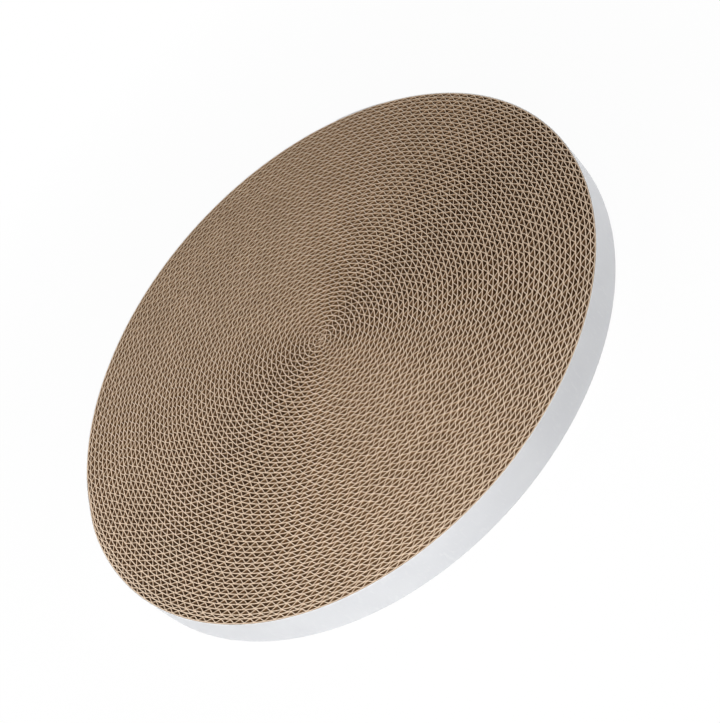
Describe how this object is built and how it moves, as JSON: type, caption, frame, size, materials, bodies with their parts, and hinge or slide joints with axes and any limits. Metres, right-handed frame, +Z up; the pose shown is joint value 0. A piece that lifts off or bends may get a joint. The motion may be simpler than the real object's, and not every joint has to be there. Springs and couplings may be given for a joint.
{
  "type": "cat scratching pad",
  "caption": "Flat round cat scratching pad: a spiral roll of corrugated kraft board standing on edge, with a white card band round its rim.",
  "frame": {"origin": "under the middle of the pad, on the surface that it lies on", "axes": "+Z up through the pad's height, along the axis of the roll; +Y away from the viewer in the picture"},
  "size_m": [0.4, 0.4, 0.024],
  "materials": {
    "kraft_liner": "uncoated brown kraft paper, cut edges pale",
    "kraft_medium": "uncoated brown kraft paper, a little darker than the liner",
    "white_card": "smooth white card, dull sheen"
  },
  "bodies": {
    "root": {"liner_strip": "kraft_liner", "fluted_medium": "kraft_medium", "edge_band": "white_card"}
  },
  "joints": []
}
